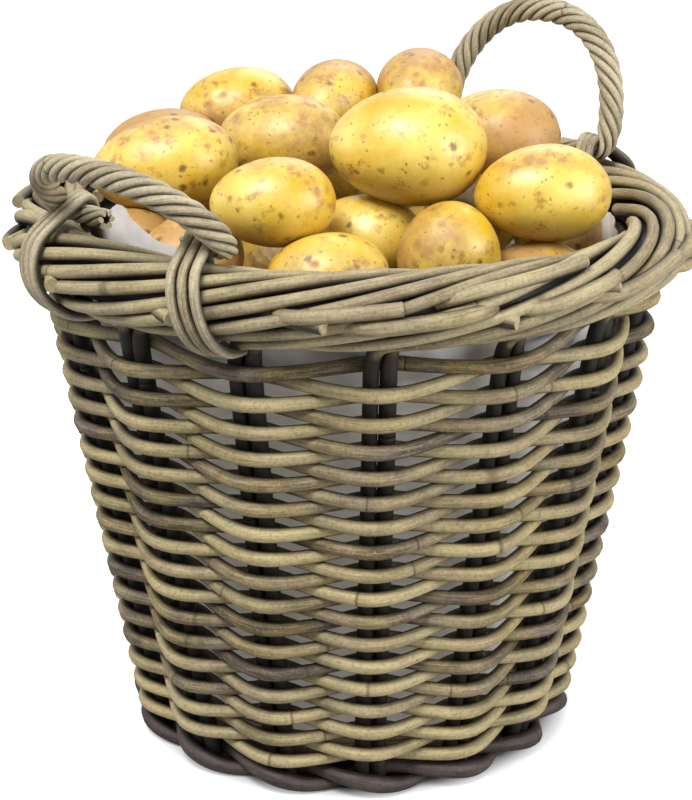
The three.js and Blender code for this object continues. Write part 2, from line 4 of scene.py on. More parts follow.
import bpy
import numpy as np
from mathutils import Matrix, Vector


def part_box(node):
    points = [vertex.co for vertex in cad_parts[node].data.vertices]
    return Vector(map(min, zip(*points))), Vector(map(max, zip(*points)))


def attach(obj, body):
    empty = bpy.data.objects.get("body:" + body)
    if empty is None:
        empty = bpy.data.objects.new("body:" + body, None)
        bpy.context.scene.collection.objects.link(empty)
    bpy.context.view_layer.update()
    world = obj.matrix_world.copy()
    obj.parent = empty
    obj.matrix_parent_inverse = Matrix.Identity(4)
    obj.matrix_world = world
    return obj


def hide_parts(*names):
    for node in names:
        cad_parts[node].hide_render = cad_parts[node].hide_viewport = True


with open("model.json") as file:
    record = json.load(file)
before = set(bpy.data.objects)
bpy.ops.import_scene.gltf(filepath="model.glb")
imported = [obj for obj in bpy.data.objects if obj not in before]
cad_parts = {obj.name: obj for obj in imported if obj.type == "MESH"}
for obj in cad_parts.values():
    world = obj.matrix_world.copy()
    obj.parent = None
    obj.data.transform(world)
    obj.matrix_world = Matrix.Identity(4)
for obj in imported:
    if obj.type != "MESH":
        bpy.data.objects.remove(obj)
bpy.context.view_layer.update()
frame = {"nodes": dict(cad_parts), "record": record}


# Foot: dark canes twined round the stakes, on which the basket stands.
# One cane of stained rattan goes twice round and crosses itself above and below between the stakes.
STAKE_PAIRS = 15
STEP = 2 * math.pi / STAKE_PAIRS
FOOT_R, FOOT_Z, FOOT_WAVE, FOOT_CROSSING = 139.5, 8.92, 10.2, 4.4
FOOT_CANE_R, FOOT_SWELL, FOOT_TONE = 4.5, 1.4, 0.35
FOOT_STATIONS, FOOT_SIDES = 14, 12


def polar(radius, angle, z):
    """Points at a radius and an angle round the basket's axis, at height z."""
    return np.stack(np.broadcast_arrays(radius * np.cos(angle), radius * np.sin(angle), z), -1)


def outward(path):
    """Unit vectors that point level away from the basket's axis at each point of a path."""
    flat = path * (1.0, 1.0, 0.0)
    return flat / np.linalg.norm(flat, axis=-1, keepdims=True)


def skin_of_cane(path, side_hint, radius, sides):
    """Rings round paths: at each station a circle in the plane across the path, turned so that its
    first corner lies towards side_hint. path is (canes, stations, 3), radius fits (canes, stations)."""
    along = np.gradient(path, axis=-2)
    along /= np.linalg.norm(along, axis=-1, keepdims=True)
    first = side_hint - along * np.sum(side_hint * along, -1, keepdims=True)
    first /= np.linalg.norm(first, axis=-1, keepdims=True)
    second = np.cross(along, first)
    turn = np.arange(sides) * 2 * math.pi / sides
    reach = np.broadcast_to(radius, path.shape[:-1])[..., None, None]
    ring = np.cos(turn)[:, None] * first[..., None, :] + np.sin(turn)[:, None] * second[..., None, :]
    return path[..., None, :] + reach * ring


def fill_mesh(name, verts, quads, uvs, sharp=50, **values):
    """Puts whole arrays of corners in millimetres, quads, UVs per corner and values per point in a mesh."""
    mesh = bpy.data.meshes.new(name)
    mesh.vertices.add(len(verts))
    mesh.vertices.foreach_set("co", (verts * 0.001).astype(np.float32).ravel())
    mesh.loops.add(quads.size)
    mesh.loops.foreach_set("vertex_index", quads.astype(np.int32).ravel())
    mesh.polygons.add(len(quads))
    mesh.polygons.foreach_set("loop_start", np.arange(0, quads.size, 4, dtype=np.int32))
    mesh.update(calc_edges=True)
    mesh.uv_layers.new(name="UVMap").data.foreach_set("uv", uvs.astype(np.float32).ravel())
    for key, value in values.items():
        mesh.attributes.new(key, "FLOAT", "POINT").data.foreach_set("value", value.astype(np.float32))
    mesh.shade_smooth()
    mesh.set_sharp_from_angle(angle=math.radians(sharp))
    piece = bpy.data.objects.new(name, mesh)
    bpy.context.scene.collection.objects.link(piece)
    return piece


def cane_piece(name, path, side_hint, radius, sides, tone, closed=False, away=None):
    """A piece of one or more canes. Rings are joined along each cane, and cut ends are closed by quads.
    The UV map holds the length along the cane in metres and the share of the way round it. The value
    "bare" is 1 on the side that faces away from the work and 0 on the side that lies against it."""
    rings = skin_of_cane(path, side_hint, radius, sides)
    away = side_hint if away is None else away
    reach = rings - path[..., None, :]
    bare = np.sum(reach * away[..., None, :], -1) / np.linalg.norm(away, axis=-1)[..., None]
    bare = 0.5 + 0.5 * bare / np.linalg.norm(reach, axis=-1)
    bare[:, [0, -1]] = bare[:, [0, -1]] if closed else 1.0
    canes, stations = rings.shape[:2]
    ids = np.arange(canes * stations * sides).reshape(canes, stations, sides)
    near = ids if closed else ids[:, :-1]
    far = np.roll(ids, -1, 1) if closed else ids[:, 1:]
    walls = np.stack([near, np.roll(near, -1, 2), np.roll(far, -1, 2), far], -1)
    gaps = np.linalg.norm(np.diff(path, axis=1), axis=-1) * 0.001
    length = np.concatenate([np.zeros((canes, 1)), np.cumsum(gaps, 1)], 1)
    last = length[:, -1:] + gaps[:, :1]
    low = length if closed else length[:, :-1]
    high = np.concatenate([length[:, 1:], last], 1) if closed else length[:, 1:]
    share = np.arange(sides) / sides
    shape = walls.shape[:-1]
    u = np.stack([low, low, high, high], -1)[:, :, None, :] + np.zeros(shape + (4,))
    v = np.stack([share, share + 1 / sides, share + 1 / sides, share], -1) + np.zeros(shape + (4,))
    quads = walls.reshape(-1, 4)
    uvs = np.stack([u, v], -1).reshape(-1, 2)
    if not closed:
        i = np.arange(sides // 2 - 1)
        cap = np.stack([i, i + 1, sides - 2 - i, sides - 1 - i], -1)
        start = ids[:, 0][:, cap[:, ::-1]].reshape(-1, 4)
        end = ids[:, -1][:, cap].reshape(-1, 4)
        quads = np.concatenate([quads, start, end])
        uvs = np.concatenate([uvs, np.zeros((start.size + end.size, 2))])
    tones = np.broadcast_to(np.asarray(tone, float), path.shape[:-1])[..., None] + np.zeros(sides)
    return fill_mesh(name, rings.reshape(-1, 3), quads, uvs, tone=tones.ravel(), bare=bare.ravel())


class Shade:
    """One output socket of a material. Sums, differences and products of it add Math nodes."""

    def __init__(self, tree, out=None):
        self.tree, self.out = tree, out

    def node(self, kind, settings=None, inputs=None, out=0):
        """Adds a node, sets it up, sets or links its inputs and gives the output asked for."""
        made = self.tree.nodes.new(kind)
        for key, value in (settings or {}).items():
            if key == "stops":
                ramp = made.color_ramp
                while len(ramp.elements) < len(value):
                    ramp.elements.new(0.5)
                for element, (place, level) in zip(ramp.elements, value):
                    element.position, element.color = place, (level, level, level, 1)
            else:
                setattr(made, key, value)
        for key, value in (inputs or {}).items():
            if isinstance(value, Shade):
                self.tree.links.new(value.out, made.inputs[key])
            else:
                made.inputs[key].default_value = value
        return Shade(self.tree, made.outputs[out])

    def math(self, operation, a, b=0.0):
        """A Math node on one or two values."""
        return self.node("ShaderNodeMath", {"operation": operation}, {0: a, 1: b})

    def __add__(self, other):
        return self.math("ADD", self, other)

    def __radd__(self, other):
        return self.math("ADD", other, self)

    def __sub__(self, other):
        return self.math("SUBTRACT", self, other)

    def __rsub__(self, other):
        return self.math("SUBTRACT", other, self)

    def __mul__(self, other):
        return self.math("MULTIPLY", self, other)

    def steps(self, *stops):
        """The value led through a ramp of (place, level) stops."""
        return self.node("ShaderNodeValToRGB", {"stops": stops}, {0: self})

    def mix(self, low, high):
        """Colour low where the value is 0, and high where it is 1."""
        colours = {"data_type": "RGBA", "clamp_factor": True}
        return self.node("ShaderNodeMix", colours, {0: self, 6: low, 7: high}, 2)

    def noise(self, place, scale, detail=3.0, rough=0.55):
        """Cloudy noise of 0 to 1 at a place, finer with a larger scale."""
        inputs = {"Vector": place, "Scale": scale, "Detail": detail, "Roughness": rough}
        return self.node("ShaderNodeTexNoise", None, inputs)


def tint(red, green, blue):
    """A screen colour of 0 to 255 as the linear colour that a shader takes."""
    share = np.array([red, green, blue]) / 255
    linear = np.where(share <= 0.04045, share / 12.92, ((share + 0.055) / 1.055) ** 2.4)
    return (*linear.tolist(), 1.0)


def new_finish(name):
    """An empty material: the wrapper of its nodes and its output node."""
    material = bpy.data.materials.new(name)
    material.use_nodes = True
    material.node_tree.nodes.clear()
    output = material.node_tree.nodes.new("ShaderNodeOutputMaterial")
    return material, Shade(material.node_tree), output


def cane_finish(name, pale, mid, other, dark, deep, node_gap=0.24):
    """Rattan: long fibres and fine specks, drifts from one hue to another along the cane, pale weathered
    stretches, thin dark rings at the cane's nodes, painted shade on the sides that face the work, and a
    tone that leads from deep brown (0) to pale (1)."""
    material, shade, output = new_finish(name)
    coord = shade.node("ShaderNodeTexCoord", None, None, "Object")
    uv = shade.node("ShaderNodeUVMap", {"uv_map": "UVMap"})
    u = shade.node("ShaderNodeSeparateXYZ", None, {0: uv}, 0)
    v = shade.node("ShaderNodeSeparateXYZ", None, {0: uv}, 1)
    tone = shade.node("ShaderNodeAttribute", {"attribute_name": "tone"}, None, "Fac")
    bare = shade.node("ShaderNodeAttribute", {"attribute_name": "bare"}, None, "Fac")
    around = v * (2 * math.pi)
    bark = shade.node("ShaderNodeCombineXYZ", None, {
        0: shade.math("COSINE", around) * 2.2, 1: shade.math("SINE", around) * 2.2, 2: u * 30.0})
    fibre = shade.noise(bark, 1.6, 5.0, 0.65)
    speck = shade.noise(coord, 480.0, 3.0, 0.7)
    blotch = shade.noise(coord, 36.0, 4.0, 0.6)
    drift = shade.noise(shade.node("ShaderNodeCombineXYZ", None, {0: u * 6.0, 1: 3.0}), 1.0, 2.0)
    hue = shade.noise(coord, 15.0, 3.0, 0.6).steps((0.42, 0.0), (0.58, 1.0))
    ring_place = shade.math("FRACT", u * (1 / node_gap) + drift * 1.3)
    ring = shade.math("ABSOLUTE", ring_place - 0.5).steps((0.0, 1.0), (0.004, 0.8), (0.009, 0.0))
    collar = shade.math("ABSOLUTE", ring_place - 0.52).steps((0.0, 1.0), (0.04, 0.0))
    wood = fibre.steps((0.4, 0.0), (0.6, 1.0)).mix(dark, hue.mix(mid, other))
    weather = (blotch * 0.9 + drift * 0.7 + tone * 1.1 - 0.92).steps((0.06, 0.0), (0.75, 1.0))
    wood = (weather * (0.35 + fibre * 0.75)).mix(wood, pale)
    wood = (speck.steps((0.5, 0.0), (0.72, 1.0)) * 0.5).mix(wood, dark)
    wood = (speck.steps((0.25, 1.0), (0.45, 0.0)) * 0.4).mix(wood, pale)
    wood = (ring * (0.1 + blotch * 0.8) + collar * 0.12).mix(wood, deep)
    # Painted shade: the sides that face the work, where the value bare is low, go towards deep brown,
    # broken up a little by blotches.
    painted_crevice_shade = (bare + blotch * 0.16 - 0.08).steps((0.42, 1.0), (0.64, 0.5), (0.87, 0.0))
    wood = (painted_crevice_shade * 0.9).mix(wood, deep)
    wood = tone.steps((0.0, 1.0), (0.2, 0.0)).mix(wood, deep)
    bump = shade.node("ShaderNodeBump", None, {
        "Strength": 0.7, "Distance": 0.0007,
        "Height": fibre * 0.6 + speck * 0.3 + blotch * 0.4 - ring * 0.9})
    surface = shade.node("ShaderNodeBsdfPrincipled", None, {
        "Base Color": wood, "Roughness": 0.44 + blotch * 0.3, "Normal": bump, "Specular IOR Level": 0.42})
    shade.tree.links.new(surface.out, output.inputs["Surface"])
    return material


def show(piece, material, body, slot, *nodes):
    """Gives a piece its finish, lets it ride on a body and puts it in place of CAD nodes."""
    piece.data.materials.append(material)
    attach(piece, body)
    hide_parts(*nodes)


foot_pass = np.linspace(0, 2 * STAKE_PAIRS, 2 * STAKE_PAIRS * FOOT_STATIONS, endpoint=False)[None]
STAKE_PHASE = math.pi - (STAKE_PAIRS // 2) * STEP
foot_stroke = np.cos(math.pi * foot_pass)
foot_path = polar(FOOT_R + FOOT_WAVE * foot_stroke, STAKE_PHASE + foot_pass * STEP,
                  FOOT_Z + FOOT_SWELL * foot_stroke ** 2 - FOOT_CROSSING * np.sin(math.pi * foot_pass))
foot_finish = cane_finish("foot_cane", pale=tint(112, 94, 86), mid=tint(72, 58, 52), other=tint(60, 49, 49),
                          dark=tint(34, 26, 24), deep=tint(18, 14, 13))
foot_gauge = FOOT_CANE_R + FOOT_SWELL * foot_stroke ** 2
foot = cane_piece("foot_twine", foot_path, outward(foot_path), foot_gauge, FOOT_SIDES, FOOT_TONE,
                  closed=True)
show(foot, foot_finish, "basket", "foot", "foot_wale")


# Base: a round plate worked in rounds over two crossed sets of sticks, seen only from below.
# Its solids are shown as they are and take a finish of dry cane in rings.
ROUND_PITCH = 0.0085


def base_finish():
    """Rounds of cane: rings about the middle of the plate, each with its own grey-brown tone."""
    material, shade, output = new_finish("base_cane")
    coord = shade.node("ShaderNodeTexCoord", None, None, "Object")
    level = shade.node("ShaderNodeVectorMath", {"operation": "MULTIPLY"}, {0: coord, 1: (1, 1, 0)})
    far = shade.node("ShaderNodeVectorMath", {"operation": "LENGTH"}, {0: level}, "Value")
    rounds = far * (1 / ROUND_PITCH)
    groove = shade.math("ABSOLUTE", shade.math("FRACT", rounds) - 0.5)
    grain = shade.noise(coord, 160.0, 4.0)
    each = shade.noise(shade.node("ShaderNodeCombineXYZ", None, {0: shade.math("FLOOR", rounds)}), 3.1, 1.0)
    wood = (grain * 0.5 + each * 0.5).steps((0.3, 0.0), (0.7, 1.0))
    wood = wood.mix(tint(92, 79, 58), tint(166, 149, 112))
    wood = groove.steps((0.36, 0.0), (0.5, 1.0)).mix(wood, tint(48, 38, 28))
    bump = shade.node("ShaderNodeBump", None, {
        "Strength": 0.8, "Distance": 0.002, "Height": 1 - groove * groove * 4.0 + grain * 0.2})
    surface = shade.node("ShaderNodeBsdfPrincipled", None, {
        "Base Color": wood, "Roughness": 0.6 + grain * 0.25, "Normal": bump})
    shade.tree.links.new(surface.out, output.inputs["Surface"])
    return material


base_cane = base_finish()
for node in ("base_plate", "base_sticks"):
    frame["nodes"][node].data.materials.clear()
    frame["nodes"][node].data.materials.append(base_cane)


# Stakes and border: each pair is one dark cane bent to a hairpin under the foot. Both ends go up the
# wall and are laid to the right into the border, up its outside, over the top and down inside.
STAKE_D, PAIR_OFFSET = 10.3, 5.2
WALL_FOOT_R, WALL_SLOPE, WEAVE_BOTTOM, WEAVE_TOP = 142.5, 50.0 / 287.1, 22.97, 310.07
BORDER_R, BORDER_Z, BORDER_WIND_R, SLOT_TURN = 201.0, 345.07, 19.1, math.radians(360 / 11)
TURN_PER_ANGLE = 2 * SLOT_TURN / STEP
BORDER_SLIM, BORDER_LEAD, BORDER_ENDS_DEG, CORE_R = 0.19, 2.2, (232, 256), 13.2
TUCK_DEPTH, TUCK_Z, TUCK_RUN, TUCK_IN = 4.2, 18.8, 5.2, 2.3
PART_STATIONS, STAKE_STATIONS, STAKE_SIDES, CORE_STATIONS, CORE_SIDES = 70, 220, 10, 180, 12
rng = np.random.default_rng(15)


def wall_radius(z):
    """Radius of the stake line: a cone that tucks in a little below the first row."""
    cone = WALL_FOOT_R + np.clip(z - WEAVE_BOTTOM, -TUCK_DEPTH, None) * WALL_SLOPE
    return cone - np.clip((TUCK_Z - z) / TUCK_RUN, 0, 1) * TUCK_IN


def even_path(path, stations):
    """Spreads the points of each path evenly along its length, by linear steps."""
    gaps = np.linalg.norm(np.diff(path, axis=1), axis=-1)
    length = np.concatenate([np.zeros((len(path), 1)), np.cumsum(gaps, 1)], 1)
    length /= length[:, -1:]
    share = np.linspace(0, 1, stations)
    spread = [[np.interp(share, at, line) for line in cane.T] for at, cane in zip(length, path)]
    return np.array(spread).transpose(0, 2, 1)


def eased(path, reach):
    """Rounds off the corners of paths: each point is the bell-weighted mean of its neighbours."""
    stations = np.arange(path.shape[1])
    width = np.minimum(reach, np.minimum(stations, stations[::-1]) * 0.5 + 0.01)
    bell = np.exp(-0.5 * ((stations[:, None] - stations) / width[:, None]) ** 2)
    return np.einsum("ij,kjc->kic", bell / bell.sum(1, keepdims=True), path)


def stake_rise(side, ends):
    """Middle lines of the left (-1) or right (1) canes of all pairs. The wall part follows the cone;
    in the border the cane winds about the hoop while it runs to the right."""
    pair = (STAKE_PHASE + np.arange(STAKE_PAIRS) * STEP)[:, None]
    z = np.linspace(FOOT_Z + 2.2, WEAVE_TOP + 7, PART_STATIONS)
    up = polar(wall_radius(z), pair + side * PAIR_OFFSET / wall_radius(z), z)
    start = 0.0 if side < 0 else -SLOT_TURN
    bend = (side * PAIR_OFFSET + BORDER_LEAD) / BORDER_R
    first = start + bend * TURN_PER_ANGLE
    turn = first + (ends[:, None] - start - bend * TURN_PER_ANGLE) * np.linspace(0, 1, PART_STATIONS)
    angle = pair + (turn - start) / TURN_PER_ANGLE
    stray = rng.uniform(-1, 1, (3, STAKE_PAIRS, 1)) ** 3 * 1.6
    wind_r = BORDER_WIND_R + 2.0 * stray[0] * np.sin(2.2 * turn + 3 * stray[1])
    wound = turn + 0.2 * stray[2] * np.sin(1.9 * turn + 2 * stray[0])
    wind = polar(BORDER_R + wind_r * np.sin(wound), angle, BORDER_Z - wind_r * np.cos(wound))
    return eased(even_path(np.concatenate([up, wind], 1), STAKE_STATIONS), 3.0)


stake_finish = cane_finish("stake_and_border_cane", pale=tint(196, 181, 140), mid=tint(142, 128, 78),
                           other=tint(128, 108, 92), dark=tint(76, 63, 44), deep=tint(17, 13, 10))
left_canes = stake_rise(-1, np.radians(rng.uniform(*BORDER_ENDS_DEG, STAKE_PAIRS)))
right_canes = stake_rise(1, np.radians(rng.uniform(*BORDER_ENDS_DEG, STAKE_PAIRS)))
hairpin = np.radians(np.linspace(-90, 90, 9))
for k in range(STAKE_PAIRS):
    ends = left_canes[k, 0], right_canes[k, 0]
    middle, reach = (ends[0] + ends[1]) / 2, (ends[1] - ends[0]) / 2
    bend = middle + np.sin(hairpin)[1:-1, None] * reach - np.cos(hairpin)[1:-1, None] * (0, 0, PAIR_OFFSET)
    path = np.concatenate([left_canes[k, ::-1], bend, right_canes[k]])[None]
    rise = path[..., 2]
    tone = np.clip((rise - WEAVE_TOP - 6) / 14, 0, 1) * (0.3 + 0.6 * rng.random()) + 0.01
    slim = BORDER_SLIM * np.clip((rise - WEAVE_TOP) / 20, 0, 1)
    in_border = np.clip((rise - WEAVE_TOP) / 14, 0, 1)[..., None]
    from_hoop = path - polar(BORDER_R, np.arctan2(path[..., 1], path[..., 0]), BORDER_Z)
    away = outward(path) * (1 - in_border) + in_border * from_hoop / 20
    gauge = STAKE_D / 2 * (1 - slim + 0.05 * np.sin(np.arange(path.shape[1]) / 17 + k))
    stake = cane_piece(f"stake_cane_{k + 1}", path, outward(path), gauge, STAKE_SIDES, tone, away=away)
    show(stake, stake_finish, "basket", "stake", f"stake_pair_{k + 1}")

hoop_turn = np.linspace(0, 2 * math.pi, CORE_STATIONS, endpoint=False)[None]
hoop_path = polar(BORDER_R, hoop_turn, BORDER_Z)
# The core takes tone 0, as dark as the stained stakes; where it shows in the gaps between the border canes
# it is also painted shade.
hoop = cane_piece("border_core", hoop_path, outward(hoop_path), CORE_R, CORE_SIDES, 0.0, closed=True)
show(hoop, stake_finish, "basket", "hoop", "border_hoop")


# Cut ends: short pale canes that come out between the canes of the border, to the right or straight
# out, and are cut off square.
END_R, END_FROM, END_OUT, END_FALL, END_TONE, END_SIDES = 4.5, 8, 16, 2, 0.9, 12
end_at = STAKE_PHASE + (np.arange(STAKE_PAIRS) + rng.uniform(0.1, 0.7, STAKE_PAIRS)) * STEP
end_rise = rng.uniform(-8, 6, STAKE_PAIRS)
end_run = rng.uniform(0.06, 0.2, STAKE_PAIRS)
run = np.linspace(0, 1, 24)
for k in range(STAKE_PAIRS):
    path = polar(BORDER_R + END_FROM + END_OUT * run, end_at[k] + end_run[k] * run,
                 BORDER_Z + end_rise[k] - END_FALL * run)[None]
    # Their away side points up, so the undersides of the ends take the finish's painted shade.
    stub = cane_piece(f"border_end_{k + 1}", path, outward(path), END_R, END_SIDES, END_TONE,
                      away=0 * path + (0, 0, 1))
    show(stub, stake_finish, "basket", "stake")


# Laid-over canes: spare border canes that run flatter than the rest over their outside. One end is
# tucked in between the others, and the second is tucked in too or cut off square.
LAID_OVER, LAID_TUCK, LAID_SIDES = 5.6, 10.0, 12
LAID_AT = (0.62, 0.95, 1.3, 1.62, 1.95, 2.15, 3.7, 3.86, 4.12, 4.36, 4.6, 4.84, 5.06, 5.28)
luck = np.random.default_rng(8)
laid = np.linspace(0, 1, 60)[None]
for k, start in enumerate(LAID_AT):
    turn = np.radians(luck.uniform(52, 122) + luck.uniform(8, 34) * laid)
    tucked = np.clip(1 - laid / 0.3, 0, 1) ** 2 + (k % 2) * np.clip((laid - 0.72) / 0.28, 0, 1) ** 2
    wind_r = BORDER_WIND_R + LAID_OVER - LAID_TUCK * tucked
    path = polar(BORDER_R + wind_r * np.sin(turn), start + luck.uniform(0.3, 0.46) * laid,
                 BORDER_Z - wind_r * np.cos(turn))
    away = path - polar(BORDER_R, np.arctan2(path[..., 1], path[..., 0]), BORDER_Z)
    over = cane_piece(f"border_over_{k + 1}", path, outward(path), luck.uniform(4.2, 5.1), LAID_SIDES,
                      luck.uniform(0.45, 0.95), away=away)
    show(over, stake_finish, "basket", "stake")


# Wall: one spiral of weaving in grey-brown cane, over one stake pair and under the next.
# It is worked in lengths whose ends meet behind a pair.
WEAVER_D, WEAVER_WAVE, WEAVER_DIP, ROW_PITCH, LOOSE_TOP = 8.6, 9.9, 2.2, 8.7, 5.0
WEAVER_SHARE, WEAVER_TOTAL, WEAVE_START, WEAVERS = 70, 495, 5, 7
WEAVER_STATIONS, WEAVER_SIDES, LOOSE_FROM, LOOSE_OVER = 12, 10, 260, 50


def weaver_path(first, last):
    """Middle line of a weaver between two counts of stakes: a wave about the stake line, out and down at
    odd counts and in and up at even ones, that climbs one pitch in each round and wanders in height.
    The top rows lie looser."""
    count = np.linspace(first, last, (last - first) * WEAVER_STATIONS + 1)[None]
    angle = STAKE_PHASE + (WEAVE_START + count) * STEP
    z = WEAVE_BOTTOM + count / STAKE_PAIRS * ROW_PITCH
    wave = np.cos(math.pi * count) * (0.82 + 0.18 * np.cos(math.pi * count) ** 2)
    wander = 1.6 * np.sin(2 * angle + 0.4 + z / 90) + 1.0 * np.sin(5 * angle + 1.7 - z / 60)
    fade = np.clip((z - WEAVE_BOTTOM) / 40, 0, 1)
    wander = wander + LOOSE_TOP * np.clip((z - LOOSE_FROM) / LOOSE_OVER, 0, 1) ** 2
    return polar(wall_radius(z) - WEAVER_WAVE * wave, angle, z + fade * (wander + WEAVER_DIP * wave))


weaver_finish = cane_finish("weaver_cane", pale=tint(204, 188, 138), mid=tint(148, 129, 78),
                            other=tint(126, 110, 100), dark=tint(68, 56, 40), deep=tint(20, 15, 11))
for n in range(WEAVERS):
    first = n * WEAVER_SHARE
    last = WEAVER_TOTAL if n == WEAVERS - 1 else first + WEAVER_SHARE
    path = weaver_path(first, last)
    stations = np.arange(path.shape[1])
    stroke = np.cos(math.pi * stations / WEAVER_STATIONS)
    tone = 0.5 + 0.42 * np.interp(stations, stations[::48], rng.uniform(-1, 1, len(stations[::48])))
    tone += 0.3 * np.interp(stations, stations[::18], rng.uniform(-1, 1, len(stations[::18])))
    tone = np.clip(tone + 0.3 * np.clip((75 - path[0, :, 2]) / 50, 0, 1), 0.14, 1)
    gauge = np.interp(stations, stations[::60], rng.uniform(-0.04, 0.04, len(stations[::60])))
    gauge = WEAVER_D / 2 * (1 + gauge + 0.1 * stroke ** 2)
    weaver = cane_piece(f"weaver_{n + 1}", path, outward(path), gauge, WEAVER_SIDES, tone)
    show(weaver, weaver_finish, "basket", "weaver", f"wall_weaver_{n + 1}")


# Liner: a pot of thin clear film that stands inside the wall, with a crumpled edge at the border.
# It rests on the base and leans on the weave.
LINER_FLOOR, LINER_EDGE, LINER_GAP = 34.0, 338.0, 15.9
FILM_RINGS, FILM_ROUND, DISC_SHARE = 60, 240, 0.25
STAND_LEFT, STAND_RIGHT, LEAN_FROM, CONE_TOP = 42, 14, 314, 322


def liner_film():
    """The film: a disc on the base that turns up into the cone of the wall, with upright crumples that
    grow towards the edge, and an edge of uneven height."""
    around = np.linspace(0, 2 * math.pi, FILM_ROUND, endpoint=False)
    up = np.linspace(0, 1, FILM_RINGS)
    disc = np.clip(up / DISC_SHARE, 0, 1)[:, None]
    rise = np.clip((up - DISC_SHARE) / (1 - DISC_SHARE), 0, 1)[:, None]
    high = np.interp(np.degrees(around), [146, 164, 192, 206], [0.0, 1.0, 0.6, 0.0])
    right = np.interp(np.degrees(around), [286, 312, 340, 358], [0.0, 1.0, 1.0, 0.0])
    uneven = 3 * np.sin(3 * around + 0.5) + 3 * np.sin(7 * around + 2)
    edge = LINER_EDGE + STAND_LEFT * high + STAND_RIGHT * right + uneven
    z = LINER_FLOOR + rise * (edge - LINER_FLOOR)
    crumple = np.sin(23 * around + 3 * rise) + np.sin(41 * around - 5 * rise + 1)
    crumple = crumple + 0.6 * np.sin(67 * around + 2)
    lean_in = (2.5 + 7 * high) * np.clip((z - LEAN_FROM) / 22, 0, 1)
    cone = wall_radius(np.minimum(z, CONE_TOP)) - LINER_GAP - (0.2 + 0.5 * rise) * (2.6 + crumple) - lean_in
    radius = np.where(disc < 1, cone * np.maximum(disc, 0.02), cone)
    verts = polar(radius, around, z + 0 * radius)
    ids = np.arange(FILM_RINGS * FILM_ROUND).reshape(FILM_RINGS, FILM_ROUND)
    after = np.roll(ids, -1, 1)
    walls = np.stack([ids[:-1], after[:-1], after[1:], ids[1:]], -1).reshape(-1, 4)
    i = np.arange(FILM_ROUND // 2 - 1)
    floor = ids[0][np.stack([FILM_ROUND - 1 - i, FILM_ROUND - 2 - i, i + 1, i], -1)]
    return verts.reshape(-1, 3), np.concatenate([floor, walls])


film_verts, film_quads = liner_film()
film = fill_mesh("liner_film", film_verts, film_quads, np.zeros((film_quads.size, 2)), 80)
corners = film_verts[film_quads] * 0.001
across = np.cross(corners[:, 2] - corners[:, 0], corners[:, 3] - corners[:, 1])
film_material, shade, output = new_finish("clear_film")
coord = shade.node("ShaderNodeTexCoord", None, None, "Object")
crease = shade.noise(coord, 26.0, 5.0, 0.6)
height = shade.node("ShaderNodeSeparateXYZ", None, {0: coord}, 2)
# Painted light: the film glows faintly in warm white to stand in for light that comes through it; the glow
# fades out in a band about 0.31 to 0.338 m high, under the border.
painted_glow_band = height.steps((0.285, 1.0), (0.31, 0.0), (0.338, 0.0), (0.356, 1.0))
bump = shade.node("ShaderNodeBump", None, {"Strength": 0.35, "Distance": 0.003, "Height": crease})
surface = shade.node("ShaderNodeBsdfPrincipled", None, {
    "Base Color": crease.steps((0.3, 0.0), (0.7, 1.0)).mix(tint(228, 228, 230), tint(248, 248, 250)),
    "Emission Color": (painted_glow_band * (0.6 + crease * 0.6)).mix((0, 0, 0, 1), tint(230, 223, 208)),
    "Emission Strength": 0.2,
    "Roughness": 0.22 + crease * 0.25, "Alpha": 0.75 + crease * 0.4, "Normal": bump})
shade.tree.links.new(surface.out, output.inputs["Surface"])
show(film, film_material, "basket", "film", "liner")


# Handles: ropes of six twisted canes, bent to a bow. Their toes lie along the border under the
# lashings and turn there.
AXIS_R, AXIS_Z = 179.88, 375.37
BOW_HALF_W, TOE_L, TOE_BEND = 74.14, 38.0, 8.0
ROPE_R, TOE_R, ROPE_LAY, STRANDS = 8.75, 6.5, 66.0, 6
BOW_POWER, STRAND_FIT, ROPE_STATIONS, STRAND_SIDES = 0.9, 0.97, 260, 8


def bow_line(height):
    """Middle line of the rope in the bow's own plane: toe, bend, high arch, bend and toe."""
    arch = np.linspace(0, math.pi, 181)
    across = -BOW_HALF_W * np.sign(np.cos(arch)) * np.abs(np.cos(arch)) ** BOW_POWER
    up = TOE_BEND + (height - TOE_BEND) * np.sin(arch) ** BOW_POWER
    toe = np.linspace(-BOW_HALF_W + TOE_L, -BOW_HALF_W + 1.5, 30)
    across = np.concatenate([toe, across, -toe[::-1]])
    up = np.concatenate([0 * toe, up, 0 * toe])
    return eased(even_path(np.stack([across, 0 * across, up], -1)[None], ROPE_STATIONS), 4.0)[0]


